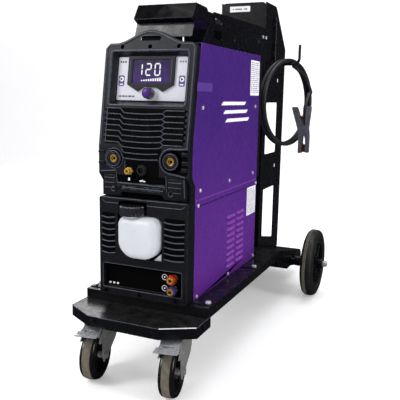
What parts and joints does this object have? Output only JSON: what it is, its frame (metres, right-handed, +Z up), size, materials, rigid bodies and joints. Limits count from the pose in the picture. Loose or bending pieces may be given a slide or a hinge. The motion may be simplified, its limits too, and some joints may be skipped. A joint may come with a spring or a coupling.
{
  "type": "TIG welder",
  "caption": "Water-cooled TIG welding set: inverter power source stacked on a liquid cooler, on a wheeled cart with mast, torch shelf and earth clamp.",
  "frame": {"origin": "middle of the footprint, on the floor, on the set's plane of symmetry", "axes": "+Z up; the front with its sockets and display faces -Y; +X to the right seen from the front"},
  "size_m": [0.582, 1.2302, 1],
  "materials": {
    "cart_paint": "satin black powder coat",
    "zinc": "bright zinc plate",
    "axle_steel": "drawn bright steel",
    "hook_steel": "black coated bar",
    "caster_rubber": "matte black rubber on a moulded core",
    "tyre_rubber": "solid rubber, scuffed tread",
    "rim_plastic": "moulded black",
    "moulding_black": "fine textured black",
    "cover_purple": "deep violet powder coat",
    "chassis_grey": "satin",
    "panel_grey": "printed light grey film",
    "display_dark": "dark glossy window",
    "knob_purple": "violet cap on black grip",
    "tank_white": "translucent blow-moulded white",
    "cap_black": "ribbed black",
    "seal_rubber": "matte",
    "brass": "turned",
    "red_anodised": "red anodised",
    "blue_anodised": "blue anodised",
    "alloy": "mill finish",
    "fan_black": "moulded",
    "cable_rubber": "smooth black sheath",
    "clamp_zinc": "zinc plated pressing",
    "copper": "copper",
    "winding": "varnished copper and core",
    "board_green": "solder mask",
    "switch_red": "moulded red"
  },
  "bodies": {
    "cart": {"base_pan": "cart_paint", "tray": "cart_paint", "rear_frame": "cart_paint", "mast": "cart_paint", "torch_shelf": "cart_paint", "cable_hook": "hook_steel", "rear_axle": "axle_steel", "axle_nuts": "zinc", "cart_bolts": "zinc", "caster_plates": "zinc", "earth_cable": "cable_rubber", "clamp_fixed_arm": "clamp_zinc", "clamp_pin": "axle_steel", "clamp_spring": "copper", "clamp_contact_fixed": "copper", "cooler_front": "moulding_black", "cooler_cover": "cover_purple", "cooler_base": "chassis_grey", "cooler_rear": "moulding_black", "coolant_tank": "tank_white", "radiator": "alloy", "pump": "chassis_grey", "coupling_bodies": "brass", "source_front": "moulding_black", "control_panel": "panel_grey", "display_unit": "display_dark", "source_cover": "cover_purple", "source_base": "chassis_grey", "source_rear": "moulding_black", "fan_frames": "fan_black", "heatsink": "alloy", "transformer": "winding", "main_board": "board_green", "dinse_insulators": "moulding_black", "dinse_contacts": "brass", "gas_fittings": "brass", "control_socket": "moulding_black", "panel_screws": "zinc", "mains_cable": "cable_rubber"},
    "caster_left": {"caster_fork_left": "zinc"},
    "caster_right": {"caster_fork_right": "zinc"},
    "caster_left_wheel": {"caster_wheel_left": "caster_rubber"},
    "caster_right_wheel": {"caster_wheel_right": "caster_rubber"},
    "caster_left_pedal": {"brake_pedal_left": "zinc"},
    "caster_right_pedal": {"brake_pedal_right": "zinc"},
    "rear_wheel_left": {"rear_rim_left": "rim_plastic", "rear_tyre_left": "tyre_rubber"},
    "rear_wheel_right": {"rear_rim_right": "rim_plastic", "rear_tyre_right": "tyre_rubber"},
    "clamp_jaw": {"clamp_moving_arm": "clamp_zinc", "clamp_contact_moving": "copper"},
    "tank_cap": {"tank_cap": "cap_black"},
    "tank_seal": {"cap_seal": "seal_rubber"},
    "red_collar": {"red_sleeve": "red_anodised"},
    "blue_collar": {"blue_sleeve": "blue_anodised"},
    "encoder": {"encoder_shaft": "axle_steel"},
    "control_knob": {"knob": "knob_purple"},
    "mains_switch": {"mains_switch": "switch_red"},
    "source_fan": {"source_fan": "fan_black"},
    "cooler_fan": {"cooler_fan": "fan_black"}
  },
  "joints": [
    {"name": "caster_left_swivel", "type": "hinge", "parent": "cart", "child": "caster_left", "pos_m": [-0.106, -0.50786, 0.154], "axis": [0, 0, 1], "continuous": true},
    {"name": "caster_left_roll", "type": "hinge", "parent": "caster_left", "child": "caster_left_wheel", "pos_m": [-0.09905, -0.54725, 0.0625], "axis": [0.9848, 0.1736, 0], "continuous": true},
    {"name": "caster_left_brake", "type": "hinge", "parent": "caster_left", "child": "caster_left_pedal", "pos_m": [-0.09871, -0.54922, 0.112], "axis": [0.9848, 0.1736, 0], "range_deg": [0, 11]},
    {"name": "caster_right_swivel", "type": "hinge", "parent": "cart", "child": "caster_right", "pos_m": [0.106, -0.50786, 0.154], "axis": [0, 0, 1], "continuous": true},
    {"name": "caster_right_roll", "type": "hinge", "parent": "caster_right", "child": "caster_right_wheel", "pos_m": [0.11295, -0.54725, 0.0625], "axis": [0.9848, 0.1736, 0], "continuous": true},
    {"name": "caster_right_brake", "type": "hinge", "parent": "caster_right", "child": "caster_right_pedal", "pos_m": [0.11329, -0.54922, 0.112], "axis": [0.9848, 0.1736, 0], "range_deg": [0, 11]},
    {"name": "rear_wheel_left_roll", "type": "hinge", "parent": "cart", "child": "rear_wheel_left", "pos_m": [-0.239, 0.32814, 0.118], "axis": [1, 0, 0], "continuous": true},
    {"name": "rear_wheel_right_roll", "type": "hinge", "parent": "cart", "child": "rear_wheel_right", "pos_m": [0.239, 0.32814, 0.118], "axis": [1, 0, 0], "continuous": true},
    {"name": "clamp_squeeze", "type": "hinge", "parent": "cart", "child": "clamp_jaw", "pos_m": [0.195, 0.31514, 0.586], "axis": [0, -1, 0], "range_deg": [0, 15], "deforming": ["clamp_spring"]},
    {"name": "cap_lift", "type": "slide", "parent": "cart", "child": "tank_seal", "axis": [0, 0, 1], "range_m": [0, 0.006]},
    {"name": "cap_turn", "type": "hinge", "parent": "tank_seal", "child": "tank_cap", "pos_m": [-0.027, -0.48986, 0.421], "axis": [0, 0, 1], "range_deg": [0, 541]},
    {"name": "red_collar_pull", "type": "slide", "parent": "cart", "child": "red_collar", "axis": [0, 1, 0], "range_m": [0, 0.004]},
    {"name": "blue_collar_pull", "type": "slide", "parent": "cart", "child": "blue_collar", "axis": [0, 1, 0], "range_m": [0, 0.004]},
    {"name": "knob_press", "type": "slide", "parent": "cart", "child": "encoder", "axis": [0, 0.9877, -0.1564], "range_m": [0, 0.001]},
    {"name": "knob_turn", "type": "hinge", "parent": "encoder", "child": "control_knob", "pos_m": [0, -0.46474, 0.70063], "axis": [0, 0.9877, -0.1564], "continuous": true},
    {"name": "mains_switch_turn", "type": "hinge", "parent": "cart", "child": "mains_switch", "pos_m": [0.062, 0.04014, 0.764], "axis": [0, -1, 0], "range_deg": [-90, 0]},
    {"name": "source_fan_spin", "type": "hinge", "parent": "cart", "child": "source_fan", "pos_m": [0, -0.01186, 0.664], "axis": [0, 1, 0], "continuous": true},
    {"name": "cooler_fan_spin", "type": "hinge", "parent": "cart", "child": "cooler_fan", "pos_m": [0, -0.01186, 0.319], "axis": [0, 1, 0], "continuous": true}
  ],
  "couplings": [
    {"joint": "cap_turn", "follows": "cap_lift", "rad_per_m": 1570.8}
  ]
}
